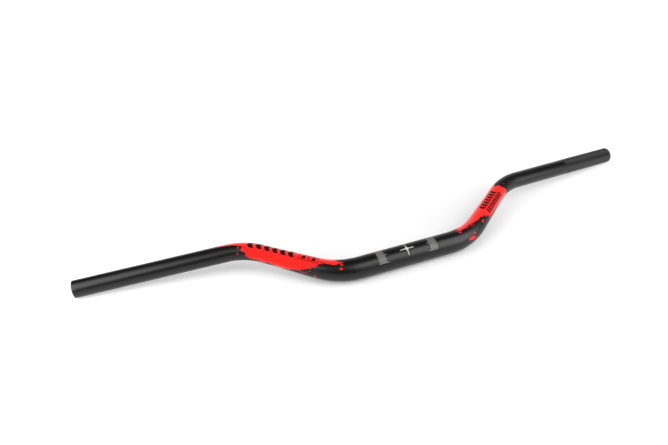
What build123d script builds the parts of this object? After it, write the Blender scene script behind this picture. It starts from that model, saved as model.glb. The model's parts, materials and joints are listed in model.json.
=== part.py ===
"""Riser handlebar: one bent, tapered tube with printed films on its rises and printed marks in its clamp zone.

Frame: the origin is the middle of the clamp zone on the tube's axis, +X runs along the clamp zone towards the
knurled end, +Y runs from the clamp zone towards the grips, and +Z is up, as the bar lies on a table on its
clamp zone and its two tips. Lengths are millimetres and angles are degrees.

The half towards +X is built along its centre line, and what the other half shares with it is mirrored. A place
on the surface is given as (s, about): s is the distance along the centre line from the middle, and about is the
angle round the tube from the direction square to the plane of the rises, positive towards the front of the bar.
"""
from build123d import *
import os
from math import asin, atan2, copysign, degrees, hypot, radians, sin, tan

# ---- Driving dimensions ------------------------------------------------------------------------------------
CLAMP_RADIUS = 14.3         # the 28.6 mm clamp zone
GRIP_RADIUS = 11.1          # the 22.2 mm grips
CLAMP_BORE_RADIUS = 10.3
GRIP_BORE_RADIUS = 7.0
LOWER_CORNER = 93.0         # from the middle to the corner where a rise starts
UPPER_CORNER = 192.0        # from the middle to the corner where a grip starts
RISE = 72.5                 # height of the upper corner over the lower one
HALF_SPAN = 403.0           # from the middle to the end of the axis, across the bike
UPSWEEP = 6.6
BACKSWEEP = 7.3
BEND_RADIUS = 90.0
TAPER_START = 74.0          # along the centre line, where the clamp radius ends
TAPER_END = 178.0           # and where the grip radius starts
END_CHAMFER = 0.8
BORE_CHAMFER = 0.5

KNURL_RADIUS = 11.35        # over the crests of the rolled knurl
KNURL_LENGTH = 98.0
KNURL_LEAD = 0.5            # length of the bevel where the knurl starts

FILM = 0.12                 # thickness of the printed film
INK = 0.05                  # thickness of the print on the film and on the tube

TICK_FROM, TICK_TO = 31.5, 41.8     # a scale's ticks along the clamp zone
LONG_TICK_FROM = 28.5
TICK_WIDTH = 0.75
TICK_STEP = 7.2                     # from tick to tick round the tube
TICKS_AFTER, TICKS_BEFORE = 6, 12   # ticks to the front and the back of the one square to the rises
TICKS_PER_LONG_ONE = 6
CROSS_HALF_LENGTH = 9.5
CROSS_HALF_ANGLE = 38.0
CROSS_STROKE = 1.0
CROSS_MIDDLE_RADIUS = 2.1

# Outlines of the films: (s, about). They run off the upper side of the tube past SIDE_ANGLE, front and back, to
# SIDE_REACH radii from its middle.
SIDE_ANGLE = 84
SIDE_REACH = 1.4
LEFT_FILM = [
    (101, -98), (99, -50), (96, -26), (92, -14), (93, -3), (96, 3), (101, 6), (107, 3), (110, -5), (113.5, -3),
    (116, 12), (122, 32), (129, 52), (136, 68), (143, 80), (150, 88), (190, 88), (204, 82), (208, 76), (210, 64),
    (211, 47), (215, 38), (216, 24), (215, 8), (220, -4), (228, -14), (246, -26), (236, -36), (248, -50),
    (240, -70), (247, -98),
]
RIGHT_FILM = [
    (84, -98), (83, -40), (85, -13), (92, -16), (99, -20), (96, -4), (103, -9), (112, -5), (121, 1), (130, 6),
    (131, 16), (129, 28), (134, 42), (138, 50), (146, 60), (158, 64), (168, 70), (172, 80), (176, 90), (197, 90),
    (197, 66), (198, 45), (196, 28), (195, 14), (196, 2), (195, -12), (191, -24), (191, -40), (197, -56),
    (194, -72), (197, -98),
]
# Droplets beside the films: (s, about, half length, half width in millimetres).
LEFT_DROPLETS = [(221, 12, 1.2, 0.8), (222, 53, 1.2, 0.8), (90, 28, 1.8, 1.1), (89, 6, 1.8, 0.8)]
RIGHT_DROPLETS = [(121, 31, 2.8, 1.0), (98, 43, 1.8, 0.8), (91, 57, 5.0, 1.6)]

# Print on the films: chevrons (first s, last s, count, from, to, stroke, point), where from and to are angles
# round the tube and the rest is in millimetres along it, blocks (the same, with a lean for the point) and frames
# (first s, last s, from, to, stroke).
LEFT_CHEVRONS = (152.5, 204.5, 6, -42, 11, 6.4, 2.8)
LEFT_BLOCKS = (124.2, 137.2, 2, -22, 3, 5.0, 0.8)
LEFT_FRAMES = [(118.5, 130.6, -32, 12, 0.9), (131.5, 143.6, -32, 12, 0.9)]
RIGHT_CHEVRONS = (143.5, 179.5, 7, -40, 2, 4.1, -2.4)
RIGHT_BLOCKS = (142, 181, 9, 44, 9, 3.6, 1.2)
LEFT_MARKS_FROM, LEFT_MARKS_TO = 115, 215       # stretches of the tube that hold all the marks
RIGHT_MARKS_FROM, RIGHT_MARKS_TO = 135, 190

# ---- Centre line -------------------------------------------------------------------------------------------
tip_rise = RISE + (HALF_SPAN - UPPER_CORNER) * tan(radians(UPSWEEP))
tip_sweep = (HALF_SPAN - UPPER_CORNER) * tan(radians(BACKSWEEP))
# Lying on its clamp zone and its tips turns the plane of the rises this far up from +Y.
lay = degrees(asin((GRIP_RADIUS - CLAMP_RADIUS) / hypot(tip_rise, tip_sweep)) + atan2(tip_sweep, tip_rise))


def laid(across, up_the_rise, swept):
    """Place of a point given across the bike, up the rise and swept back out of the plane of the rises."""
    return Vector(across, up_the_rise, -swept).rotate(Axis.X, lay)


class Run:
    """A straight stretch of the centre line. A plane across the tube has its z along the line."""

    def __init__(self, start, length):
        self.start = start
        self.length = length

    def station(self, along):
        return self.start.offset(along)

    def solid(self, begin, end, radius_begin, radius_end):
        if radius_begin == radius_end:
            shape = Cylinder(radius_begin, end - begin, align=(Align.CENTER, Align.CENTER, Align.MIN))
        else:
            shape = Cone(radius_begin, radius_end, end - begin, align=(Align.CENTER, Align.CENTER, Align.MIN))
        return self.station(begin) * shape


class Bend:
    """An arc of BEND_RADIUS between two headings."""

    SECTIONS = 6    # spans of a tapered stretch

    def __init__(self, start, heading_after):
        self.start = start
        self.angle = start.z_dir.get_angle(heading_after)
        self.length = BEND_RADIUS * radians(self.angle)
        normal = start.z_dir.cross(heading_after).normalized()
        self.axis = Axis(start.origin + normal.cross(start.z_dir) * BEND_RADIUS, normal)

    def station(self, along):
        turn = along / self.length * self.angle
        return Plane(
            origin=self.axis.position + (self.start.origin - self.axis.position).rotate(self.axis, turn),
            x_dir=self.start.x_dir.rotate(self.axis, turn),
            z_dir=self.start.z_dir.rotate(self.axis, turn),
        )

    def solid(self, begin, end, radius_begin, radius_end):
        if radius_begin == radius_end:
            turn = (end - begin) / self.length * self.angle
            return revolve(self.station(begin) * Circle(radius_begin), axis=self.axis, revolution_arc=turn)
        shares = [i / self.SECTIONS for i in range(self.SECTIONS + 1)]
        return loft([
            self.station(begin + (end - begin) * share)
            * Circle(radius_begin + (radius_end - radius_begin) * share)
            for share in shares
        ])


lower_corner = laid(LOWER_CORNER, 0, 0)
upper_corner = laid(UPPER_CORNER, RISE, 0)
tip = laid(HALF_SPAN, tip_rise, tip_sweep)
across_bike = Vector(1, 0, 0)
rise_heading = (upper_corner - lower_corner).normalized()
grip_heading = (tip - upper_corner).normalized()
rise_plane = Plane(origin=(0, 0, 0), x_dir=across_bike, z_dir=across_bike.cross(rise_heading))


def corner_reach(before, after):
    """How far a bend between two headings reaches from its corner."""
    return BEND_RADIUS * tan(radians(before.get_angle(after) / 2))


lower_reach = corner_reach(across_bike, rise_heading)
upper_reach = corner_reach(rise_heading, grip_heading)
clamp_half = LOWER_CORNER - lower_reach

middle = Plane(origin=(0, 0, 0), x_dir=rise_plane.z_dir, z_dir=across_bike)
clamp_run = Run(middle, clamp_half)
lower_bend = Bend(clamp_run.station(clamp_half), rise_heading)
rise_run = Run(
    lower_bend.station(lower_bend.length), (upper_corner - lower_corner).length - lower_reach - upper_reach
)
upper_bend = Bend(rise_run.station(rise_run.length), grip_heading)
grip_run = Run(upper_bend.station(upper_bend.length), (tip - upper_corner).length - upper_reach)
stretches = [clamp_run, lower_bend, rise_run, upper_bend, grip_run]
half_length = sum(stretch.length for stretch in stretches)


def placed_stretches():
    """Each stretch with the distance from the middle at which it begins."""
    begin = 0
    for stretch in stretches:
        yield begin, stretch
        begin += stretch.length


def station(s):
    """Plane across the tube at s."""
    for begin, stretch in placed_stretches():
        if s <= begin + stretch.length:
            return stretch.station(s - begin)
    return stretches[-1].station(s - begin)


def tapered(s, clamp_radius, grip_radius):
    """Radius at s of a surface that has these radii in the clamp zone and in the grips."""
    share = min(max((s - TAPER_START) / (TAPER_END - TAPER_START), 0), 1)
    return clamp_radius + (grip_radius - clamp_radius) * share


# ---- Solids along the centre line --------------------------------------------------------------------------
def half_bar(begin, end, clamp_radius, grip_radius):
    """Solid round bar of the half towards +X between two distances from the middle."""
    parts = []
    for first, stretch in placed_stretches():
        last = first + stretch.length
        cuts = [begin, end, first, last, TAPER_START, TAPER_END]
        cuts = sorted({s for s in cuts if max(first, begin) <= s <= min(last, end)})
        for low, high in zip(cuts, cuts[1:]):
            radii = [tapered(s, clamp_radius, grip_radius) for s in (low, high)]
            parts.append(stretch.solid(low - first, high - first, *radii))
    return parts[0].fuse(*parts[1:]) if len(parts) > 1 else parts[0]


def mirrored(shape):
    return mirror(shape, about=Plane.YZ)


def whole_bar(clamp_radius, grip_radius):
    """Solid round bar from tip to tip, with the clamp zone's straight as one cylinder."""
    arm = half_bar(clamp_half, half_length, clamp_radius, grip_radius)
    middle_run = Plane.YZ * Cylinder(clamp_radius, 2 * clamp_half)
    return middle_run + arm + mirrored(arm)


def ring_cut(radius_outer, radius_inner, length):
    """Ring with a conical inside, which cuts a chamfer off the end of a round bar. It stands on z = 0."""
    low = (Align.CENTER, Align.CENTER, Align.MIN)
    return Cylinder(radius_outer + 1, length, align=low) - Cone(radius_outer, radius_inner, length, align=low)


def bar_tube():
    tube = whole_bar(CLAMP_RADIUS, GRIP_RADIUS)
    knurl_start = half_length - KNURL_LENGTH
    low = (Align.CENTER, Align.CENTER, Align.MIN)
    tube += station(knurl_start) * Cone(GRIP_RADIUS, KNURL_RADIUS, KNURL_LEAD, align=low)
    tube += station(knurl_start + KNURL_LEAD) * Cylinder(KNURL_RADIUS, KNURL_LENGTH - KNURL_LEAD, align=low)
    tube -= whole_bar(CLAMP_BORE_RADIUS, GRIP_BORE_RADIUS)
    chamfer_plane = station(half_length - END_CHAMFER)
    tube -= chamfer_plane * ring_cut(KNURL_RADIUS, KNURL_RADIUS - END_CHAMFER, END_CHAMFER)
    tube -= mirrored(chamfer_plane * ring_cut(GRIP_RADIUS, GRIP_RADIUS - END_CHAMFER, END_CHAMFER))
    mouth = station(half_length - BORE_CHAMFER) * Cone(
        GRIP_BORE_RADIUS, GRIP_BORE_RADIUS + BORE_CHAMFER, BORE_CHAMFER, align=low
    )
    return tube - mouth - mirrored(mouth)


# ---- Films and print on the rises --------------------------------------------------------------------------
def skin(begin, end, under, over):
    """Skin of the half towards +X, from one height above the tube's surface to another."""
    outer = half_bar(begin, end, CLAMP_RADIUS + over, GRIP_RADIUS + over)
    return outer - half_bar(begin, end, CLAMP_RADIUS + under, GRIP_RADIUS + under)


def flat_place(s, about):
    """Place of (s, about) in the plane of the rises, or one beside the tube past SIDE_ANGLE."""
    offset = sin(radians(about)) if abs(about) < SIDE_ANGLE else copysign(SIDE_REACH, about)
    on_surface = station(s).from_local_coords((0, offset * tapered(s, CLAMP_RADIUS, GRIP_RADIUS), 0))
    local = rise_plane.to_local_coords(on_surface)
    return (local.X, local.Y)


def stamp(face):
    """Prism square to the plane of the rises, which cuts a shape out of the upper side of a skin."""
    under_rise_plane = 1.5
    return extrude(rise_plane.offset(-under_rise_plane) * face, amount=2 * CLAMP_RADIUS)


def outline(places):
    return make_face(Polyline([flat_place(*place) for place in places], close=True))


def droplet(s, about, half_length_mm, half_width_mm):
    x, y = flat_place(s, about)
    ahead = flat_place(s + 1, about)
    heading = degrees(atan2(ahead[1] - y, ahead[0] - x))
    return Pos(x, y) * Rot(0, 0, heading) * Ellipse(half_length_mm, half_width_mm)


def film(places, droplets):
    """Printed film: the splash and its droplets, cut out of a skin on the tube."""
    ends = [place[0] for place in places + droplets]
    margin = 6
    layer = skin(min(ends) - margin, max(ends) + margin, 0, FILM)
    pieces = [layer & stamp(outline(places))]
    pieces += [layer & stamp(droplet(*drop)) for drop in droplets]
    return Compound([solid for piece in pieces for solid in piece.solids()])


def chevron(s, low, high, stroke, point):
    """Arrow stroke that points along the tube."""
    tail, middle = s - stroke / 2, (low + high) / 2
    return outline([
        (tail, low), (tail + stroke, low), (tail + stroke + point, middle),
        (tail + stroke, high), (tail, high), (tail + point, middle),
    ])


def slanted_block(s, low, high, stroke, lean):
    tail = s - stroke / 2
    return outline([(tail, low), (tail + stroke, low), (tail + stroke + lean, high), (tail + lean, high)])


def row(shape, first, last, count, *dimensions):
    """Faces of a row of equal marks."""
    return [shape(first + (last - first) * index / (count - 1), *dimensions) for index in range(count)]


def frame(first, last, low, high, stroke):
    """Face of a thin rectangular frame."""
    thickness = degrees(stroke / GRIP_RADIUS)
    inner = [
        (first + stroke, low + thickness), (last - stroke, low + thickness),
        (last - stroke, high - thickness), (first + stroke, high - thickness),
    ]
    return outline([(first, low), (last, low), (last, high), (first, high)]) - outline(inner)


def film_print(faces, begin, end):
    """Print on a film between two distances from the middle, each mark a solid of its own."""
    layer = skin(begin, end, FILM, FILM + INK)
    marks = [layer & stamp(face) for face in faces]
    return Compound([solid for mark in marks for solid in mark.solids()])


# ---- Print in the clamp zone -------------------------------------------------------------------------------
def clamp_mark(begin, end, angle_from, angle_to):
    """Patch of print between two places along the clamp zone and two angles round it."""
    profile = Plane.XZ * Pos((begin + end) / 2, CLAMP_RADIUS + INK / 2) * Rectangle(end - begin, INK)
    return Rot(lay + angle_from, 0, 0) * revolve(profile, axis=Axis.X, revolution_arc=angle_to - angle_from)


def stroke_angle(width):
    """Half the angle round the clamp zone that a stroke of this width takes."""
    return degrees(width / 2 / CLAMP_RADIUS)


def centre_cross():
    """Cross with a round middle."""
    half_stroke = CROSS_STROKE / 2
    half_angle = stroke_angle(CROSS_STROKE)
    round_arm = clamp_mark(-half_stroke, half_stroke, -CROSS_HALF_ANGLE, CROSS_HALF_ANGLE)
    long_arm = clamp_mark(-CROSS_HALF_LENGTH, CROSS_HALF_LENGTH, -half_angle, half_angle)
    widest = 2 * stroke_angle(2 * CROSS_MIDDLE_RADIUS)
    patch = clamp_mark(-2 * CROSS_MIDDLE_RADIUS, 2 * CROSS_MIDDLE_RADIUS, -widest, widest)
    low = (Align.CENTER, Align.CENTER, Align.MIN)
    disc = patch & Rot(lay, 0, 0) * Cylinder(CROSS_MIDDLE_RADIUS, 2 * CLAMP_RADIUS, align=low)
    return round_arm + long_arm + disc


def clamp_scale():
    """Ring of tick marks on the half towards +X, each tick a solid of its own."""
    half_angle = stroke_angle(TICK_WIDTH)
    ticks = []
    for index in range(-TICKS_BEFORE, TICKS_AFTER + 1):
        begin = LONG_TICK_FROM if index % TICKS_PER_LONG_ONE == 0 else TICK_FROM
        angle = index * TICK_STEP
        ticks.append(clamp_mark(begin, TICK_TO, angle - half_angle, angle + half_angle))
    return Compound([solid for tick in ticks for solid in tick.solids()])


# ---- Nodes -------------------------------------------------------------------------------------------------
right_scale = clamp_scale()
left_marks = row(chevron, *LEFT_CHEVRONS) + row(slanted_block, *LEFT_BLOCKS)
left_marks += [frame(*dimensions) for dimensions in LEFT_FRAMES]
right_marks = row(chevron, *RIGHT_CHEVRONS) + row(slanted_block, *RIGHT_BLOCKS)
nodes = {
    "bar_tube": bar_tube(),
    "left_splash_film": mirrored(film(LEFT_FILM, LEFT_DROPLETS)),
    "left_splash_print": mirrored(film_print(left_marks, LEFT_MARKS_FROM, LEFT_MARKS_TO)),
    "right_splash_film": film(RIGHT_FILM, RIGHT_DROPLETS),
    "right_splash_print": film_print(right_marks, RIGHT_MARKS_FROM, RIGHT_MARKS_TO),
    "centre_cross_mark": centre_cross(),
    "left_clamp_scale": mirrored(right_scale),
    "right_clamp_scale": right_scale,
}

os.makedirs("parts", exist_ok=True)
for name, shape in nodes.items():
    export_step(shape, f"parts/{name}.step")
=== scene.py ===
"""Riser handlebar in Blender: the bent, tapered tube with its knurl, the splash films on its rises, the marks
printed on them and the marks in the clamp zone.

Everything is modelled straight first. In the straight model the bar lies along X with its middle at the
origin, Z is square to the plane of the rises and Y points to the back. Flat prints are drawn unrolled, with X
along the bar, Y round it and Z above its surface. Rolling and bending then put each point where the bar has
it.
"""
import json
import math

import bmesh
import bpy
import numpy as np
from bpy.props import FloatProperty, FloatVectorProperty, IntProperty, PointerProperty
from mathutils import Matrix, Vector, noise


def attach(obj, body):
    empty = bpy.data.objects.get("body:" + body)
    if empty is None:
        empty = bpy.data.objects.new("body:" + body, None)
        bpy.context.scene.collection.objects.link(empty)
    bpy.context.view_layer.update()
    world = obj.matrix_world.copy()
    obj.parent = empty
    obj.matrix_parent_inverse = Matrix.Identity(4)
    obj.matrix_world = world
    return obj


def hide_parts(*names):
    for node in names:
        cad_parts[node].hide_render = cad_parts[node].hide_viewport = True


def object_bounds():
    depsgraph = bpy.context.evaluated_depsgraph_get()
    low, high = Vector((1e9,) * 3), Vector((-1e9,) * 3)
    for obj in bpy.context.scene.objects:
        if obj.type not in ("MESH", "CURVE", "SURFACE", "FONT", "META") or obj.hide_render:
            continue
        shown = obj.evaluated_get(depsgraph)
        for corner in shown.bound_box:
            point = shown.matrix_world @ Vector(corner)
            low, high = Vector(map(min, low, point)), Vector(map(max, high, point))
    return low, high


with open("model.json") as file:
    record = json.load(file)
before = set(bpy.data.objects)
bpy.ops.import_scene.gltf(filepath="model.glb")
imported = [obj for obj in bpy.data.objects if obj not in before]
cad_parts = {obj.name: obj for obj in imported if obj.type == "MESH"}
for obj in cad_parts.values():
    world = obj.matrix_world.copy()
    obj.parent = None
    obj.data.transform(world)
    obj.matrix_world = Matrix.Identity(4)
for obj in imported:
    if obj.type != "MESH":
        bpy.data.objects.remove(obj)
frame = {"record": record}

cad_low, cad_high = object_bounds()

bl_info = {
    "name": "Riser handlebar",
    "version": (1, 0, 0),
    "blender": (4, 5, 0),
    "location": "View3D > Sidebar > Handlebar",
    "description": "Builds a riser handlebar with its printed films, clamp marks and knurl",
    "category": "Add Mesh",
}

MM = 0.001
BODY = "root"
UNROLLED_RADIUS = 12.5 * MM     # a flat print's Y is the angle round the bar times this radius
CREASE = 35                     # degrees between faces, from which their edge looks sharp
TURNED_EDGE = 30                # degrees between faces, from which a turned edge is rounded
PRINT_GAP = 0.004 * MM          # between a print's underside and what it lies on
MERGE_DISTANCE = 0.001 * MM
SLIVER_DISTANCE = 0.03 * MM     # between vertices that a film's cut edge doesn't need apart
FILM_MARGIN = 10                # of a film's sheet round its outline, in millimetres and in degrees
SCORE_STEP = 1.0 * MM
CROSS_ARC_STEPS = 6             # edges of the cross's round middle, between two arms

# Knurl: the zone's first ring sinks into the grip, and its vertices are told from the bore's by their radius.
KNURL_SINK = 0.02 * MM
KNURL_SEARCH = 0.05 * MM
KNURL_FLOOR = 0.3 * MM          # below the grip's surface, where no knurled face lies

# Raggedness of the films' edges: one seed for each side, and the fine grain's size and own seed.
LEFT_SEED, RIGHT_SEED, GRAIN_SEED = 3.1, 11.7, 7.3
GRAIN_LENGTH, GRAIN_WIDTH = 2.2 * MM, 0.8 * MM

# Camera: its target, from the middle of the bar's box, and its fixed settings.
CAMERA_LEFT = 58.2 * MM
CAMERA_BACK = 50.32 * MM
SENSOR_WIDTH = 36               # millimetres
CAMERA_REACH = 20

# Studio: softboxes (name, centre, width, height, name of their strength), in metres.
LEFT_SOFTBOX = ("left_softbox", (-0.83, -0.15, 0.62), 1.0, 1.0, "left_strength")
RIGHT_SOFTBOX = ("right_softbox", (0.59, -0.53, 0.62), 0.78, 1.2, "right_strength")
BACK_WALL = ("back_wall", (0.8, 2.0, 0.7), 3.0, 1.1, "wall_strength")
TABLE_WIDTH = 14.0
GLOW_FROM, GLOW_TO = 0.1, 0.9   # distances from the bar's middle between which the table's own light grows
DOME_RADIUS = 6.8
DOME_RADIANCE = 1.05
SCRIM_SPREAD = 120              # degrees

# Outlines of the splash films: (millimetres along the bar from its middle, degrees round it). Degrees count
# from square to the plane of the rises, towards the front of the bar.
LEFT_SPLASH = [
    (101, -98), (99, -50), (96, -26), (92, -14), (93, -3), (96, 3), (101, 6), (107, 3), (110, -5),
    (113.5, -3), (116, 12), (122, 32), (129, 52), (136, 68), (143, 80), (151, 90), (158, 108), (170, 110),
    (174, 94), (181, 90), (185, 98), (191, 99), (196, 87), (204, 84), (208, 76), (210, 64), (211, 47),
    (215, 38), (216, 24), (215, 8), (220, -4), (228, -14), (246, -26), (236, -36), (248, -50), (240, -70),
    (247, -98),
]
RIGHT_SPLASH = [
    (84, -98), (83, -40), (85, -13), (92, -16), (99, -20), (96, -4), (103, -9), (112, -5), (121, 1), (130, 6),
    (131, 16), (129, 28), (134, 42), (138, 50), (146, 60), (158, 64), (168, 70), (172, 80), (176, 100),
    (197, 100), (197, 66), (198, 45), (196, 28), (195, 14), (196, 2), (195, -12), (191, -24), (191, -40),
    (197, -56), (194, -72), (197, -98),
]
# Droplets beside them: (millimetres along, degrees round, half length and half width in millimetres).
LEFT_DROPLETS = [
    (221, 12, 0.9, 1.2), (222, 53, 1.2, 0.8), (90, 28, 1.8, 1.1), (89, 6, 1.8, 0.8), (89, -6, 2.2, 0.5),
    (118, 90, 1.3, 0.9), (134, 86, 2.2, 0.5), (130, 82, 1.5, 0.4), (232, 102, 0.9, 0.7), (252, -70, 2.4, 0.8),
    (125.5, 62, 1.0, 0.4),
]
RIGHT_DROPLETS = [
    (121, 31, 2.8, 1.0), (98, 43, 1.8, 0.8), (91, 57, 5.0, 1.6), (94, 66, 3.2, 0.8), (80, -4, 2.4, 0.7),
    (99, 66, 1.4, 0.5), (104, 4, 1.8, 0.4), (202, 4, 1.0, 0.6), (136, 66, 1.8, 0.6), (140, 70, 2.4, 0.5),
]

# Print on the films: chevrons (first and last place along, count, from and to in degrees round, stroke and
# point), blocks (the same, with a lean for the point) and frames (first, last, from, to, stroke).
LEFT_CHEVRONS = (152.5, 204.5, 6, -42, 11, 6.4, 2.8)
LEFT_BLOCKS = (124.2, 137.2, 2, -22, 3, 5.0, 0.8)
LEFT_FRAMES = [(118.5, 130.6, -32, 12, 0.9), (131.5, 143.6, -32, 12, 0.9)]
RIGHT_CHEVRONS = (143.5, 179.5, 7, -40, 2, 4.1, -2.4)
RIGHT_BLOCKS = (142, 181, 9, 44, 9, 3.6, 1.2)

# Marks in the clamp zone, in millimetres along it and degrees round it.
CROSS_REACH = (9.5, 38)
CROSS_ROOT, CROSS_TIP, CROSS_MIDDLE = 0.55, 0.4, 2.1
CROSS_BRIGHTNESS = 2.2      # of its ink, over that of the scales
TICK_FROM, LONG_TICK_FROM, TICK_TO = 31.5, 28.5, 41.8
TICK_STEP, TICK_STROKE = 7.2, 0.75
TICKS_BEFORE, TICKS_AFTER, TICKS_PER_LONG_ONE = 12, 6, 6


# ---- Sizes and colours that a user may change --------------------------------------------------------------
def mount(name):
    return next(m for m in frame["record"]["mounts"] if m["name"] == name)


def length_property(name, description, default, low=0.0):
    return FloatProperty(
        name=name, description=description, default=default, min=low, unit="LENGTH", precision=5
    )


def colour_property(name, description, default):
    return FloatVectorProperty(
        name=name, description=description, default=default, size=3, min=0.0, max=1.0, subtype="COLOR"
    )


class HandlebarShape(bpy.types.PropertyGroup):
    lower_corner: length_property("Lower corner", "From the middle to where a rise starts", 93 * MM)
    upper_corner: length_property("Upper corner", "From the middle to where a grip starts", 192 * MM)
    bend_radius: length_property("Bend radius", "Radius of the four bends", 90 * MM)
    taper_start: length_property("Taper start", "Along the bar, where the clamp radius ends", 74 * MM)
    taper_end: length_property("Taper end", "Along the bar, where the grip radius starts", 178 * MM)
    clamp_bore: length_property("Clamp bore", "Radius of the bore under the clamp zone", 10.3 * MM)
    end_chamfer: length_property("End chamfer", "Chamfer outside each end", 0.8 * MM)
    bore_chamfer: length_property("Bore chamfer", "Chamfer inside each end", 0.5 * MM)
    edge_round: length_property("Edge rounding", "Rounding of the turned edges at the ends", 0.12 * MM)
    columns: IntProperty(name="Columns", description="Faces round it, two to a diamond", default=90, min=24)
    straight_step: length_property("Straight step", "Faces' length where the bar is straight", 6 * MM, MM)
    bend_step: length_property("Bend step", "Faces' length in the bends", 1.6 * MM, 0.2 * MM)


class HandlebarKnurl(bpy.types.PropertyGroup):
    pitch: length_property("Pitch", "Length of a diamond along the bar", 1.9 * MM, 0.2 * MM)
    depth: length_property("Depth", "Height of the crests over the grooves", 0.38 * MM)
    flat: length_property("Crest flat", "Half width of the flat that the rolling leaves on a crest", 0.2 * MM)


class HandlebarPrint(bpy.types.PropertyGroup):
    cell_along: length_property("Cell along", "Length of a film's faces", 0.8 * MM, 0.1 * MM)
    cell_round: length_property("Cell round", "Width of a film's faces", 0.38 * MM, 0.1 * MM)
    film: length_property("Film", "Thickness of a film", 0.12 * MM)
    ink: length_property("Ink", "Thickness of the print", 0.05 * MM)
    streak_length: length_property("Streak length", "Length of the brushed streaks along the bar", 24 * MM)
    streak_width: length_property("Streak width", "Width of the brushed streaks", 1.3 * MM)
    left_streaks: length_property("Left streaks", "Streaks' reach at the left film's inner end", 9 * MM)
    right_streaks: length_property("Right streaks", "Streaks' reach at the right film's inner end", 20 * MM)
    outer_streaks: length_property("Outer streaks", "Streaks' reach at the outer ends", 3 * MM)
    grain_reach: length_property("Grain reach", "How far the fine grain moves a film's edge", 0.9 * MM)


class HandlebarFinish(bpy.types.PropertyGroup):
    anodising: colour_property("Anodising", "Black of the tube", (0.0014, 0.0014, 0.0016))
    splash: colour_property("Splash", "Red of the films", (0.84, 0.007, 0.004))
    marks: colour_property("Marks", "Black of the print on the films", (0.006, 0.0006, 0.0006))
    scale: colour_property("Scale", "Grey of the print in the clamp zone", (0.21, 0.205, 0.195))


class HandlebarStage(bpy.types.PropertyGroup):
    azimuth: FloatProperty(name="Azimuth", description="Camera's turn in degrees", default=-22.332)
    elevation: FloatProperty(name="Elevation", description="Camera's height in degrees", default=37.559)
    distance: length_property("Distance", "From the camera to its target", 0.95966)
    lens: FloatProperty(name="Lens", description="Focal length in millimetres", default=37.775)
    roll: FloatProperty(name="Roll", description="Camera's roll in degrees", default=-0.102)
    left_strength: FloatProperty(name="Left softbox", description="Its radiance", default=4.2)
    right_strength: FloatProperty(name="Right softbox", description="Its radiance", default=4.0)
    wall_strength: FloatProperty(name="Back wall", description="Radiance of the wall behind", default=0.65)
    scrim_strength: FloatProperty(name="Scrim", description="Strength of the light overhead", default=1.0)
    fill_strength: FloatProperty(name="Fill", description="Strength of the studio's fill light", default=0.06)
    table_glow: FloatProperty(name="Table glow", description="Light from inside the table", default=0.17)
    outer_glow: FloatProperty(name="Outer glow", description="The same away from the bar", default=0.8)


# ---- Line of the bar ---------------------------------------------------------------------------------------
class Run:
    """Straight stretch. A pose has X along the bar and Z square to the plane of the rises."""

    def __init__(self, start, length):
        self.start = start
        self.length = length

    def pose(self, along):
        return self.start @ Matrix.Translation((along, 0, 0))


class Bend:
    """Arc from one heading to the next."""

    def __init__(self, start, heading_after, radius):
        heading = start.to_3x3().col[0]
        self.start = start
        self.angle = heading.angle(heading_after)
        self.length = radius * self.angle
        self.normal = heading.cross(heading_after).normalized()
        self.centre = start.translation + self.normal.cross(heading) * radius

    def pose(self, along):
        turn = Matrix.Rotation(along / self.length * self.angle, 4, self.normal)
        return Matrix.Translation(self.centre) @ turn @ Matrix.Translation(-self.centre) @ self.start


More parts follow.
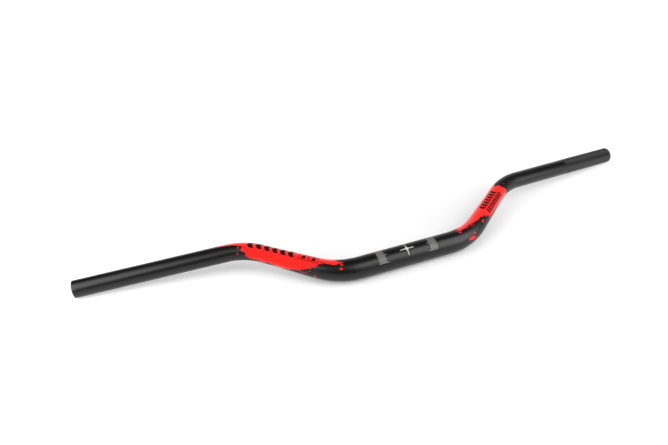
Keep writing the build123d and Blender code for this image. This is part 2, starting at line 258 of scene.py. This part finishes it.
class BarLine:
    """Centre line of the half towards +X, and the radii along it. The other half is its mirror image."""

    def __init__(self, shape):
        clamp, bore, knurl = mount("stem_clamp_seat"), mount("right_end_bore"), mount("right_knurled_seat")
        self.clamp_radius = clamp["dims"]["r_mm"] * MM
        self.grip_radius = mount("left_grip_seat")["dims"]["r_mm"] * MM
        self.bore_radius = bore["dims"]["r_mm"] * MM
        self.knurl_radius = knurl["dims"]["r_mm"] * MM
        self.clamp_bore = shape.clamp_bore
        self.taper = (shape.taper_start, shape.taper_end)
        lower = Vector((shape.lower_corner, 0, 0))
        grip_heading = Vector(bore["axis"]).normalized()
        on_grip = Vector(bore["pos_m"])
        upper = on_grip + grip_heading * ((shape.upper_corner - on_grip.x) / grip_heading.x)
        tip = on_grip + grip_heading * (bore["dims"]["length_mm"] * MM / 2 + shape.bore_chamfer)
        ahead = Vector((1, 0, 0))
        rise_heading = (upper - lower).normalized()
        square = ahead.cross(rise_heading).normalized()
        middle = Matrix((ahead, square.cross(ahead), square)).transposed().to_4x4()
        lower_reach = shape.bend_radius * math.tan(ahead.angle(rise_heading) / 2)
        upper_reach = shape.bend_radius * math.tan(rise_heading.angle(grip_heading) / 2)
        clamp_run = Run(middle, shape.lower_corner - lower_reach)
        lower_bend = Bend(clamp_run.pose(clamp_run.length), rise_heading, shape.bend_radius)
        rise_run = Run(lower_bend.pose(lower_bend.length), (upper - lower).length - lower_reach - upper_reach)
        upper_bend = Bend(rise_run.pose(rise_run.length), grip_heading, shape.bend_radius)
        grip_run = Run(upper_bend.pose(upper_bend.length), (tip - upper).length - upper_reach)
        self.stretches = [clamp_run, lower_bend, rise_run, upper_bend, grip_run]
        self.half = sum(stretch.length for stretch in self.stretches)
        knurl_reach = knurl["dims"]["length_mm"] * MM / 2
        knurl_middle = self.half - (tip - Vector(knurl["pos_m"])).length
        self.knurl = (knurl_middle - knurl_reach, knurl_middle + knurl_reach)

    def stations(self, straight_step, bend_step):
        """Distances from the middle at which the bar gets a ring of vertices."""
        found, begin = [0.0], 0.0
        for stretch in self.stretches:
            step = bend_step if isinstance(stretch, Bend) else straight_step
            count = math.ceil(stretch.length / step)
            found += [begin + stretch.length * (i + 1) / count for i in range(count)]
            begin += stretch.length
        return found

    def pose(self, along):
        for stretch in self.stretches[:-1]:
            if along <= stretch.length:
                return stretch.pose(along)
            along -= stretch.length
        return self.stretches[-1].pose(along)

    def tapered(self, along, clamp_radius, grip_radius):
        start, end = self.taper
        share = min(max((abs(along) - start) / (end - start), 0), 1)
        return clamp_radius + (grip_radius - clamp_radius) * share

    def radius(self, along):
        return self.tapered(along, self.clamp_radius, self.grip_radius)

    def bore(self, along):
        return self.tapered(along, self.clamp_bore, self.bore_radius)

    def bend_mesh(self, bm):
        """Take a straight model to the shape of the bar."""
        poses = {}
        for vert in bm.verts:
            along = round(vert.co.x, 7)
            if along not in poses:
                poses[along] = self.pose(abs(along))
            place = poses[along] @ Vector((0, vert.co.y, vert.co.z))
            if along < 0:
                place.x = -place.x
            vert.co = place


# ---- Materials ---------------------------------------------------------------------------------------------
class Recipe:
    """A material under construction: its nodes, its links and its shader."""

    def __init__(self, name, colour, roughness):
        self.material = bpy.data.materials.new(name)
        self.material.use_nodes = True
        self.tree = self.material.node_tree
        self.shader = self.tree.nodes["Principled BSDF"]
        self.shader.inputs["Base Color"].default_value = (*colour, 1)
        self.shader.inputs["Roughness"].default_value = roughness
        self.place = self.node("ShaderNodeTexCoord").outputs["Object"]

    def node(self, kind, **settings):
        made = self.tree.nodes.new(kind)
        for key, value in settings.items():
            setattr(made, key, value)
        return made

    def link(self, output, target):
        self.tree.links.new(output, target)

    def noise(self, size, detail=3.0, roughness=0.55, stretch=None):
        """Noise with features of this size in metres. With a stretch it follows the piece's own UV map."""
        texture = self.node("ShaderNodeTexNoise")
        texture.inputs["Scale"].default_value = 1 / size
        texture.inputs["Detail"].default_value = detail
        texture.inputs["Roughness"].default_value = roughness
        source = self.place
        if stretch:
            mapping = self.node("ShaderNodeMapping")
            mapping.inputs["Scale"].default_value = stretch
            self.link(self.node("ShaderNodeUVMap", uv_map="bar").outputs["UV"], mapping.inputs["Vector"])
            source = mapping.outputs["Vector"]
        self.link(source, texture.inputs["Vector"])
        return texture.outputs["Fac"]

    def spread(self, output, low, high, start=0.3, end=0.7):
        """Map a value's range from start to end onto low to high."""
        mapped = self.node("ShaderNodeMapRange")
        for name, value in (("From Min", start), ("From Max", end), ("To Min", low), ("To Max", high)):
            mapped.inputs[name].default_value = value
        self.link(output, mapped.inputs["Value"])
        return mapped.outputs["Result"]

    def shade(self, factor, colour_low, colour_high):
        """Base colour that goes from one colour to another with a factor."""
        ramp = self.node("ShaderNodeMix", data_type="RGBA")
        ramp.inputs["A"].default_value = (*colour_low, 1)
        ramp.inputs["B"].default_value = (*colour_high, 1)
        self.link(factor, ramp.inputs["Factor"])
        self.link(ramp.outputs["Result"], self.shader.inputs["Base Color"])

    def bump(self, height, distance, strength=1.0):
        """Relief of a height pattern, on top of any relief that is there already."""
        relief = self.node("ShaderNodeBump")
        relief.inputs["Distance"].default_value = distance
        relief.inputs["Strength"].default_value = strength
        self.link(height, relief.inputs["Height"])
        before = self.shader.inputs["Normal"]
        if before.is_linked:
            self.link(before.links[0].from_socket, relief.inputs["Normal"])
        self.link(relief.outputs["Normal"], self.shader.inputs["Normal"])


def scaled(colour, factor):
    return tuple(min(channel * factor, 1) for channel in colour)


def anodised_material(finish):
    """Shot-peened black anodising: a fine orange-peel relief and slightly uneven gloss."""
    recipe = Recipe("shot_peened_black_anodising", finish.anodising, 0.34)
    recipe.shader.inputs["IOR"].default_value = 1.44
    cloud = recipe.noise(22 * MM)
    recipe.shade(recipe.spread(cloud, 0, 1), scaled(finish.anodising, 0.85), scaled(finish.anodising, 1.2))
    speckle = recipe.noise(1.1 * MM, detail=2.0)
    recipe.link(recipe.spread(speckle, 0.31, 0.38), recipe.shader.inputs["Roughness"])
    recipe.bump(recipe.noise(0.55 * MM, detail=2.0), 0.02 * MM, 0.55)
    recipe.bump(recipe.noise(2.6 * MM, detail=1.0), 0.05 * MM, 0.45)
    return recipe.material


def splash_material(finish):
    """Red film: an even satin coat with a faint printed grain, paler where it is seen at a low angle."""
    recipe = Recipe("red_splash_film", finish.splash, 0.46)
    recipe.shader.inputs["Specular IOR Level"].default_value = 0.07
    recipe.shader.inputs["Sheen Weight"].default_value = 0.7
    recipe.shader.inputs["Sheen Roughness"].default_value = 0.4
    mottle = recipe.noise(9 * MM, stretch=(0.4, 1, 1))
    recipe.shade(recipe.spread(mottle, 0, 1), scaled(finish.splash, 0.93), scaled(finish.splash, 1.04))
    recipe.link(recipe.spread(recipe.noise(1.4 * MM), 0.42, 0.5), recipe.shader.inputs["Roughness"])
    recipe.bump(recipe.noise(0.7 * MM, detail=2.0), 0.012 * MM, 0.5)
    return recipe.material


def ink_material(name, colour, roughness):
    """Screen-printed ink: slightly uneven cover and a dry surface."""
    recipe = Recipe(name, colour, roughness)
    recipe.shader.inputs["Specular IOR Level"].default_value = 0.25
    cover = recipe.noise(1.2 * MM, detail=2.0)
    recipe.shade(recipe.spread(cover, 0, 1), scaled(colour, 0.82), scaled(colour, 1.12))
    recipe.bump(recipe.noise(0.4 * MM, detail=2.0), 0.012 * MM, 0.5)
    return recipe.material


def table_material(glow, outer_glow):
    """White table, also lit from inside, and by more away from the bar, where the lamps are far."""
    recipe = Recipe("white_light_table", (0.6, 0.6, 0.6), 0.85)
    recipe.shader.inputs["Specular IOR Level"].default_value = 0.0
    recipe.shader.inputs["Emission Color"].default_value = (1, 1, 1, 1)
    distance = recipe.node("ShaderNodeVectorMath", operation="LENGTH")
    recipe.link(recipe.place, distance.inputs["Vector"])
    strength = recipe.spread(distance.outputs["Value"], glow, outer_glow, GLOW_FROM, GLOW_TO)
    recipe.link(strength, recipe.shader.inputs["Emission Strength"])
    return recipe.material


# ---- Modelling ---------------------------------------------------------------------------------------------
def unroll(bm):
    """Write the UV map of a straight model: X along the bar, Y round it, both in metres."""
    layer = bm.loops.layers.uv.new("bar")
    for face in bm.faces:
        middle = face.calc_center_median()
        about = math.atan2(-middle.y, middle.z)
        for loop in face.loops:
            x, y, z = loop.vert.co
            angle = math.atan2(-y, z)
            angle += math.tau * round((about - angle) / math.tau)
            loop[layer].uv = (x, angle * UNROLLED_RADIUS)


def add_piece(name, bm, material, node):
    """Make a finished piece of a bent model, in place of the CAD node it stands for."""
    bmesh.ops.recalc_face_normals(bm, faces=bm.faces)
    for edge in bm.edges:
        edge.smooth = edge.calc_face_angle(0) < math.radians(CREASE)
    mesh = bpy.data.meshes.new(name)
    bm.to_mesh(mesh)
    bm.free()
    mesh.materials.append(material)
    piece = bpy.data.objects.new(name, mesh)
    bpy.context.scene.collection.objects.link(piece)
    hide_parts(node)
    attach(piece, BODY)
    return piece


def end_corners(half, outer, bore, shape):
    """Straight profile of an end from the outside to the bore, as (along, radius) corners."""
    return [
        (half - shape.end_chamfer, outer), (half, outer - shape.end_chamfer),
        (half, bore + shape.bore_chamfer), (half - shape.bore_chamfer, bore),
    ]


def tube_profile(line, shape, knurl):
    """Closed profile of the straight tube: outside from left to right, then the bore back again."""
    stations = line.stations(shape.straight_step, shape.bend_step)
    bore_stations = line.stations(2 * shape.straight_step, 3 * shape.bend_step)
    knurl_start, knurl_end = line.knurl
    rows = round((knurl_end - knurl_start) / (knurl.pitch / 2))
    knurl_rows = [knurl_start + (knurl_end - knurl_start) * row / rows for row in range(rows + 1)]
    inset = max(shape.end_chamfer, shape.bore_chamfer) * 2
    plain = [along for along in stations if along < line.half - inset]
    smooth_right = [along for along in plain if along < knurl_start - inset]
    left_end = end_corners(line.half, line.grip_radius, line.bore_radius, shape)
    right_end = end_corners(line.half, line.knurl_radius, line.bore_radius, shape)
    outside = [(-along, line.radius(along)) for along in reversed(plain[1:])]
    outside += [(along, line.radius(along)) for along in smooth_right]
    outside.append((knurl_start - shape.bore_chamfer, line.grip_radius))
    outside += [(along, line.knurl_radius) for along in knurl_rows[:-1]]
    deep = [along for along in bore_stations if along < line.half - inset]
    inside = [(along, line.bore(along)) for along in reversed(deep[1:])]
    inside += [(-along, line.bore(along)) for along in deep]
    ends = [(-along, radius) for along, radius in reversed(left_end)]
    return ends + outside + right_end + inside, knurl_rows


def spin_tube(bm, profile, columns):
    """Turn the closed profile round the X axis."""
    corners = [bm.verts.new((along, 0, radius)) for along, radius in profile]
    edges = [bm.edges.new((corners[i - 1], corners[i])) for i in range(len(corners))]
    bmesh.ops.spin(
        bm, geom=corners + edges, cent=(0, 0, 0), axis=(1, 0, 0), angle=math.tau, steps=columns,
        use_merge=True,
    )
    bmesh.ops.remove_doubles(bm, verts=bm.verts, dist=MERGE_DISTANCE)


def round_ends(bm, line, shape):
    """Take the sharpness off the turned edges of both ends."""
    edges = [
        edge for edge in bm.edges
        if edge.calc_face_angle(0) > math.radians(TURNED_EDGE)
        and all(abs(vert.co.x) > line.half - 2 * shape.end_chamfer for vert in edge.verts)
    ]
    bmesh.ops.bevel(
        bm, geom=edges, offset=shape.edge_round, offset_type="OFFSET", affect="EDGES", segments=2,
        profile=0.5, material=-1, clamp_overlap=True,
    )


def roll_knurl(bm, line, rows, shape, knurl):
    """Raise every second vertex of the knurled zone to a crest and press the others down to the grooves,
    which run both ways round the bar along the diagonals of the faces."""
    row_step = rows[1] - rows[0]
    column_step = math.tau / shape.columns
    parity = {}
    for vert in bm.verts:
        x, y, z = vert.co
        radius = math.hypot(y, z)
        if rows[0] - row_step / 4 < x < rows[-1] - row_step / 4 and radius > line.grip_radius - KNURL_SEARCH:
            row = round((x - rows[0]) / row_step)
            column = round(math.atan2(y, z) / column_step)
            parity[vert] = (row + column) % 2
            wanted = line.knurl_radius if parity[vert] else line.knurl_radius - knurl.depth
            if row == 0:
                wanted = line.grip_radius - KNURL_SINK
            vert.co = (x, y * wanted / radius, z * wanted / radius)
    faces = [face for face in bm.faces if all(vert in parity for vert in face.verts)]
    for face in faces:
        grooves = [vert for vert in face.verts if not parity[vert]]
        bmesh.utils.face_split(face, *grooves)
    crests = [vert for vert, high in parity.items() if high and rows[0] + row_step / 2 < vert.co.x]
    bmesh.ops.bevel(
        bm, geom=crests, offset=knurl.flat, offset_type="OFFSET", affect="VERTICES", segments=1, profile=0.5,
        material=-1,
    )


def build_tube(shape, knurl, finish):
    line = BarLine(shape)
    bm = bmesh.new()
    profile, rows = tube_profile(line, shape, knurl)
    spin_tube(bm, profile, shape.columns)
    round_ends(bm, line, shape)
    roll_knurl(bm, line, rows, shape, knurl)
    unroll(bm)
    for face in bm.faces:
        x, y, z = face.calc_center_median()
        in_zone = rows[0] < x < rows[-1] - 0.1 * MM
        knurled = in_zone and math.hypot(y, z) > line.grip_radius - KNURL_FLOOR
        face.smooth = not knurled
    line.bend_mesh(bm)
    return add_piece("bent_tube", bm, anodised_material(finish), "bar_tube")


# ---- Flat prints and how they go round the bar -------------------------------------------------------------
def thicken(bm, under, over):
    """Give a flat sheet its thickness, between two heights over the bar's surface."""
    sheet = bm.faces[:]
    made = bmesh.ops.extrude_face_region(bm, geom=sheet, use_keep_orig=True)
    lifted = {item for item in made["geom"] if isinstance(item, bmesh.types.BMVert)}
    for vert in bm.verts:
        vert.co.z = over if vert in lifted else under


def roll_round(bm, line):
    """Wrap an unrolled model round the straight bar."""
    for vert in bm.verts:
        angle = vert.co.y / UNROLLED_RADIUS
        radius = line.radius(vert.co.x) + vert.co.z
        vert.co = (vert.co.x, -radius * math.sin(angle), radius * math.cos(angle))


def print_piece(name, bm, line, heights, material, node):
    """Finish a flat print: thickness, roll, UV map, bend."""
    thicken(bm, *heights)
    roll_round(bm, line)
    unroll(bm)
    for face in bm.faces:
        face.smooth = True
    line.bend_mesh(bm)
    return add_piece(name, bm, material, node)


def flat_place(along_mm, degrees_round):
    return (along_mm * MM, math.radians(degrees_round) * UNROLLED_RADIUS)


def depth_inside(places, outline):
    """How far inside a closed outline each place lies, negative outside it."""
    follow = np.roll(outline, -1, axis=0)
    side = follow - outline
    offset = places[:, None] - outline
    share = np.clip((offset * side).sum(-1) / (side * side).sum(-1), 0, 1)
    distance = np.linalg.norm(offset - share[..., None] * side, axis=-1).min(1)
    straddles = (outline[:, 1] > places[:, 1:]) != (follow[:, 1] > places[:, 1:])
    rise = np.where(side[:, 1] == 0, 1, side[:, 1])
    crossing = outline[:, 0] + (places[:, 1:] - outline[:, 1]) * side[:, 0] / rise
    crossings = (straddles & (places[:, :1] < crossing)).sum(1)
    return np.where(crossings % 2 == 1, distance, -distance)


def brushed(place, seed, ends, reach, settings):
    """Place moved along the bar, by more in one streak than in the next, so that edges end in fingers."""
    x, y = place
    share = (x - ends[0]) / (ends[1] - ends[0])
    streak = noise.noise(Vector((x / settings.streak_length, y / settings.streak_width, seed)))
    return (x + streak * (reach + (settings.outer_streaks - reach) * share), y)


def grain(place, seed, settings):
    """Fine raggedness of an edge."""
    x, y = place
    return noise.noise(Vector((x / GRAIN_LENGTH, y / GRAIN_WIDTH, seed + GRAIN_SEED))) * settings.grain_reach


def splash_cover(places, outline, droplets, seed, reach, settings):
    """Above 0 where the film covers: inside its ragged outline or in a droplet."""
    corners = np.array([flat_place(*corner) for corner in outline])
    ends = (corners[:, 0].min(), corners[:, 0].max())
    body = depth_inside(np.array([brushed(place, seed, ends, reach, settings) for place in places]), corners)
    body += [grain(place, seed, settings) for place in places]
    for along, about, half_length, half_width in droplets:
        centre = np.array(flat_place(along, about))
        distance = np.linalg.norm((places - centre) / (half_length * MM, half_width * MM), axis=1)
        body = np.maximum(body, (1 - distance) * half_width * MM)
    return body


def cut_to_cover(bm, cover):
    """Keep the part of a sheet where the cover is above 0, with its edge on the line where it is 0."""
    layer = bm.verts.layers.float.new("cover")
    for vert, value in zip(bm.verts, cover):
        vert[layer] = value
    crossed = [edge for edge in bm.edges if edge.verts[0][layer] * edge.verts[1][layer] < 0]
    percents = {}
    for edge in crossed:
        first, second = (vert[layer] for vert in edge.verts)
        percents[edge] = first / (first - second)
    made = bmesh.ops.bisect_edges(bm, edges=crossed, cuts=1, edge_percents=percents)
    border = [item for item in made["geom_split"] if isinstance(item, bmesh.types.BMVert)]
    bmesh.ops.connect_verts(bm, verts=border)
    bare = [face for face in bm.faces if min(vert[layer] for vert in face.verts) < -MERGE_DISTANCE]
    bmesh.ops.delete(bm, geom=bare, context="FACES")
    bm.verts.layers.float.remove(layer)
    bmesh.ops.remove_doubles(bm, verts=bm.verts, dist=SLIVER_DISTANCE)


def build_film(side, outline, droplets, seed, reach, settings, line, material):
    """Red film of one side, cut from a fine flat sheet."""
    alongs = [corner[0] for corner in outline]
    abouts = [corner[1] for corner in outline]
    low = Vector(flat_place(min(alongs) - FILM_MARGIN, min(abouts) - FILM_MARGIN))
    high = Vector(flat_place(max(alongs) + FILM_MARGIN, max(abouts) + FILM_MARGIN))
    size = high - low
    placing = Matrix.Translation(((low + high) / 2).to_3d()) @ Matrix.Diagonal((size.x, size.y, 1, 1))
    bm = bmesh.new()
    bmesh.ops.create_grid(
        bm, x_segments=round(size.x / settings.cell_along), y_segments=round(size.y / settings.cell_round),
        size=0.5, matrix=placing,
    )
    places = np.array([vert.co.xy[:] for vert in bm.verts])
    cut_to_cover(bm, splash_cover(places, outline, droplets, seed, reach, settings))
    if side == "left":
        bmesh.ops.scale(bm, vec=(-1, 1, 1), verts=bm.verts)
    heights = (PRINT_GAP, settings.film)
    return print_piece(f"{side}_splash", bm, line, heights, material, f"{side}_splash_film")


def score(bm, step):
    """Cut flat faces along and across into strips no wider than a step, so that they can follow the bar."""
    for axis in (0, 1):
        values = [vert.co[axis] for vert in bm.verts]
        count = math.ceil((max(values) - min(values)) / step)
        square = Vector((1 - axis, axis, 0))
        for index in range(1, count):
            at = min(values) + (max(values) - min(values)) * index / count
            bmesh.ops.bisect_plane(
                bm, geom=bm.verts[:] + bm.edges[:] + bm.faces[:], plane_co=square * at, plane_no=square
            )


def add_patch(bm, corners):
    """Flat face with corners (millimetres along, degrees round)."""
    return bm.faces.new([bm.verts.new((*flat_place(*corner), 0)) for corner in corners])


def block(bm, along, low, high, stroke, lean):
    """Slanted block."""
    tail = along - stroke / 2
    add_patch(bm, [(tail, low), (tail + stroke, low), (tail + stroke + lean, high), (tail + lean, high)])


def chevron(bm, along, low, high, stroke, point):
    """Arrow stroke that points along the bar."""
    tail, middle = along - stroke / 2, (low + high) / 2
    add_patch(bm, [
        (tail, low), (tail + stroke, low), (tail + stroke + point, middle), (tail + stroke, high),
        (tail, high), (tail + point, middle),
    ])


def row(bm, shape, first, last, count, *dimensions):
    """Row of equal marks."""
    for index in range(count):
        shape(bm, first + (last - first) * index / (count - 1), *dimensions)


def frame_mark(bm, first, last, low, high, stroke):
    """Thin rectangular frame."""
    face = add_patch(bm, [(first, low), (last, low), (last, high), (first, high)])
    face.normal_update()
    bmesh.ops.inset_region(bm, faces=[face], thickness=stroke * MM, use_boundary=True, use_even_offset=True)
    bmesh.ops.delete(bm, geom=[face], context="FACES_ONLY")


def draw_left_marks(bm):
    row(bm, chevron, *LEFT_CHEVRONS)
    row(bm, block, *LEFT_BLOCKS)
    for dimensions in LEFT_FRAMES:
        frame_mark(bm, *dimensions)


def draw_right_marks(bm):
    row(bm, chevron, *RIGHT_CHEVRONS)
    row(bm, block, *RIGHT_BLOCKS)


def draw_cross(bm):
    """Cross of four tapered arms with a round middle, as one outline."""
    reaches = (CROSS_REACH[0], math.radians(CROSS_REACH[1]) * UNROLLED_RADIUS / MM)
    start = math.asin(CROSS_ROOT / CROSS_MIDDLE)
    span = math.pi / 2 - 2 * start
    arc = [start + span * step / CROSS_ARC_STEPS for step in range(CROSS_ARC_STEPS + 1)]
    corners = []
    for quarter in range(4):
        reach = reaches[quarter % 2]
        turn = Matrix.Rotation(quarter * math.pi / 2, 2)
        arm = [Vector((reach, -CROSS_TIP)), Vector((reach, CROSS_TIP))]
        arm += [Vector((math.cos(angle), math.sin(angle))) * CROSS_MIDDLE for angle in arc]
        corners += [turn @ corner for corner in arm]
    bm.faces.new([bm.verts.new((*(corner * MM), 0)) for corner in corners])


def draw_scale(bm):
    """Ticks along the bar, with longer ones between."""
    half = math.degrees(TICK_STROKE * MM / 2 / UNROLLED_RADIUS)
    for index in range(-TICKS_BEFORE, TICKS_AFTER + 1):
        begin = TICK_FROM if index % TICKS_PER_LONG_ONE else LONG_TICK_FROM
        about = index * TICK_STEP
        add_patch(bm, [
            (begin, about - half), (TICK_TO, about - half), (TICK_TO, about + half), (begin, about + half),
        ])


def build_marks(name, draw, mirrored, line, heights, material, node):
    """Print drawn on one side by a function, scored so that it follows the bar."""
    bm = bmesh.new()
    draw(bm)
    score(bm, SCORE_STEP)
    if mirrored:
        bmesh.ops.scale(bm, vec=(-1, 1, 1), verts=bm.verts)
    return print_piece(name, bm, line, heights, material, node)


# ---- Stage -------------------------------------------------------------------------------------------------
def turned_from(azimuth, elevation):
    """Unit vector from the bar towards something seen at this azimuth and elevation, in degrees."""
    around, up = math.radians(azimuth), math.radians(elevation)
    return Vector((math.sin(around) * math.cos(up), -math.cos(around) * math.cos(up), math.sin(up)))


def build_table(size, glow, outer_glow):
    """Square table top at the height of the bar's lowest point."""
    bm = bmesh.new()
    bmesh.ops.create_grid(
        bm, x_segments=8, y_segments=8, size=size / 2, matrix=Matrix.Translation((0, 0, cad_low.z))
    )
    mesh = bpy.data.meshes.new("table_top")
    bm.to_mesh(mesh)
    bm.free()
    mesh.materials.append(table_material(glow, outer_glow))
    table = bpy.data.objects.new("table_top", mesh)
    bpy.context.scene.collection.objects.link(table)


def build_dome(radius):
    """White surroundings of the table. They light nothing, cast no shadow and aren't mirrored."""
    bm = bmesh.new()
    bmesh.ops.create_uvsphere(bm, u_segments=48, v_segments=24, radius=radius)
    mesh = bpy.data.meshes.new("white_dome")
    bm.to_mesh(mesh)
    bm.free()
    recipe = Recipe("white_surroundings", (0, 0, 0), 1.0)
    recipe.shader.inputs["Specular IOR Level"].default_value = 0.0
    recipe.shader.inputs["Emission Color"].default_value = (1, 1, 1, 1)
    recipe.shader.inputs["Emission Strength"].default_value = DOME_RADIANCE
    mesh.materials.append(recipe.material)
    dome = bpy.data.objects.new("white_dome", mesh)
    dome.visible_diffuse = False
    dome.visible_glossy = False
    dome.visible_shadow = False
    bpy.context.scene.collection.objects.link(dome)


def build_softbox(name, centre, width, height, radiance):
    """Softbox that faces the bar's middle."""
    light = bpy.data.lights.new(name, "AREA")
    light.shape = "RECTANGLE"
    light.size = width
    light.size_y = height
    light.energy = radiance * math.pi * width * height
    lamp = bpy.data.objects.new(name, light)
    lamp.location = centre
    lamp.rotation_euler = Vector(centre).to_track_quat("Z", "Y").to_euler()
    lamp.visible_camera = False
    bpy.context.scene.collection.objects.link(lamp)


def build_scrim(strength, spread):
    """Wide overhead light that softens the shadows and leaves no highlight."""
    light = bpy.data.lights.new("overhead_scrim", "SUN")
    light.energy = strength
    light.angle = math.radians(spread)
    lamp = bpy.data.objects.new("overhead_scrim", light)
    lamp.visible_glossy = False
    bpy.context.scene.collection.objects.link(lamp)


def build_camera(stage):
    camera = bpy.data.cameras.new("camera")
    camera.lens = stage.lens
    camera.sensor_width = SENSOR_WIDTH
    camera.clip_end = CAMERA_REACH
    holder = bpy.data.objects.new("camera", camera)
    centre = (cad_low + cad_high) / 2
    target = Vector((centre.x - CAMERA_LEFT, centre.y + CAMERA_BACK, 0))
    back = turned_from(stage.azimuth, stage.elevation)
    facing = (-back).to_track_quat("-Z", "Y").to_matrix().to_4x4()
    roll = Matrix.Rotation(math.radians(stage.roll), 4, "Z")
    holder.matrix_world = Matrix.Translation(target + back * stage.distance) @ facing @ roll
    bpy.context.scene.collection.objects.link(holder)
    bpy.context.scene.camera = holder


def build_world(strength):
    world = bpy.data.worlds.new("studio")
    world.use_nodes = True
    world.node_tree.nodes["Background"].inputs["Color"].default_value = (1, 1, 1, 1)
    world.node_tree.nodes["Background"].inputs["Strength"].default_value = strength
    bpy.context.scene.world = world
    bpy.context.scene.view_settings.view_transform = "Standard"


# ---- Operators and panel -----------------------------------------------------------------------------------
class HANDLEBAR_OT_tube(bpy.types.Operator):
    """Build the bent, tapered tube with its bore, chamfered ends and knurl"""

    bl_idname = "handlebar.tube"
    bl_label = "Bent Tube"

    def execute(self, context):
        scene = context.scene
        build_tube(scene.handlebar_shape, scene.handlebar_knurl, scene.handlebar_finish)
        return {"FINISHED"}


class HANDLEBAR_OT_splash_films(bpy.types.Operator):
    """Build the red splash film of each rise"""

    bl_idname = "handlebar.splash_films"
    bl_label = "Splash Films"

    def execute(self, context):
        scene = context.scene
        line = BarLine(scene.handlebar_shape)
        material = splash_material(scene.handlebar_finish)
        settings = scene.handlebar_print
        for side, outline, droplets, seed, reach in (
            ("left", LEFT_SPLASH, LEFT_DROPLETS, LEFT_SEED, settings.left_streaks),
            ("right", RIGHT_SPLASH, RIGHT_DROPLETS, RIGHT_SEED, settings.right_streaks),
        ):
            build_film(side, outline, droplets, seed, reach, settings, line, material)
        return {"FINISHED"}


class HANDLEBAR_OT_splash_prints(bpy.types.Operator):
    """Build the black marks printed on the films"""

    bl_idname = "handlebar.splash_prints"
    bl_label = "Splash Prints"

    def execute(self, context):
        scene = context.scene
        line = BarLine(scene.handlebar_shape)
        settings = scene.handlebar_print
        material = ink_material("black_film_ink", scene.handlebar_finish.marks, 0.42)
        heights = (settings.film + PRINT_GAP, settings.film + settings.ink)
        for side, draw in (("left", draw_left_marks), ("right", draw_right_marks)):
            name, node = f"{side}_splash_marks", f"{side}_splash_print"
            build_marks(name, draw, side == "left", line, heights, material, node)
        return {"FINISHED"}


class HANDLEBAR_OT_clamp_marks(bpy.types.Operator):
    """Build the pale cross and the two tick scales of the clamp zone"""

    bl_idname = "handlebar.clamp_marks"
    bl_label = "Clamp Marks"

    def execute(self, context):
        scene = context.scene
        line = BarLine(scene.handlebar_shape)
        grey = scene.handlebar_finish.scale
        ink = ink_material("pale_scale_ink", grey, 0.5)
        thick_ink = ink_material("pale_cross_ink", scaled(grey, CROSS_BRIGHTNESS), 0.5)
        heights = (PRINT_GAP, scene.handlebar_print.ink)
        for name, draw, mirrored, material, node in (
            ("clamp_cross", draw_cross, False, thick_ink, "centre_cross_mark"),
            ("left_clamp_ticks", draw_scale, True, ink, "left_clamp_scale"),
            ("right_clamp_ticks", draw_scale, False, ink, "right_clamp_scale"),
        ):
            build_marks(name, draw, mirrored, line, heights, material, node)
        return {"FINISHED"}


class HANDLEBAR_OT_stage(bpy.types.Operator):
    """Set up the white table, its white surroundings, the studio light and the camera"""

    bl_idname = "handlebar.stage"
    bl_label = "Stage"

    def execute(self, context):
        stage = context.scene.handlebar_stage
        build_table(TABLE_WIDTH, stage.table_glow, stage.outer_glow)
        build_dome(DOME_RADIUS)
        for light in (LEFT_SOFTBOX, RIGHT_SOFTBOX, BACK_WALL):
            name, centre, width, height, strength = light
            build_softbox(name, centre, width, height, getattr(stage, strength))
        build_scrim(stage.scrim_strength, SCRIM_SPREAD)
        build_world(stage.fill_strength)
        build_camera(stage)
        return {"FINISHED"}


class HANDLEBAR_PT_build(bpy.types.Panel):
    """Lists the handlebar's operators"""

    bl_label = "Riser Handlebar"
    bl_space_type = "VIEW_3D"
    bl_region_type = "UI"
    bl_category = "Handlebar"

    def draw(self, context):
        for operator in OPERATORS:
            self.layout.operator(operator.bl_idname)
        for group in SETTINGS:
            for name in SETTINGS[group].__annotations__:
                self.layout.prop(getattr(context.scene, group), name)


OPERATORS = (
    HANDLEBAR_OT_tube, HANDLEBAR_OT_splash_films, HANDLEBAR_OT_splash_prints, HANDLEBAR_OT_clamp_marks,
    HANDLEBAR_OT_stage,
)
SETTINGS = {
    "handlebar_shape": HandlebarShape,
    "handlebar_knurl": HandlebarKnurl,
    "handlebar_print": HandlebarPrint,
    "handlebar_finish": HandlebarFinish,
    "handlebar_stage": HandlebarStage,
}


def register():
    for group, properties in SETTINGS.items():
        bpy.utils.register_class(properties)
        setattr(bpy.types.Scene, group, PointerProperty(type=properties))
    for cls in (*OPERATORS, HANDLEBAR_PT_build):
        bpy.utils.register_class(cls)


def unregister():
    for cls in (HANDLEBAR_PT_build, *reversed(OPERATORS)):
        bpy.utils.unregister_class(cls)
    for group, properties in reversed(SETTINGS.items()):
        delattr(bpy.types.Scene, group)
        bpy.utils.unregister_class(properties)


def main():
    register()
    bpy.ops.handlebar.tube()
    bpy.ops.handlebar.splash_films()
    bpy.ops.handlebar.splash_prints()
    bpy.ops.handlebar.clamp_marks()
    bpy.ops.handlebar.stage()


if __name__ == "__main__":
    main()
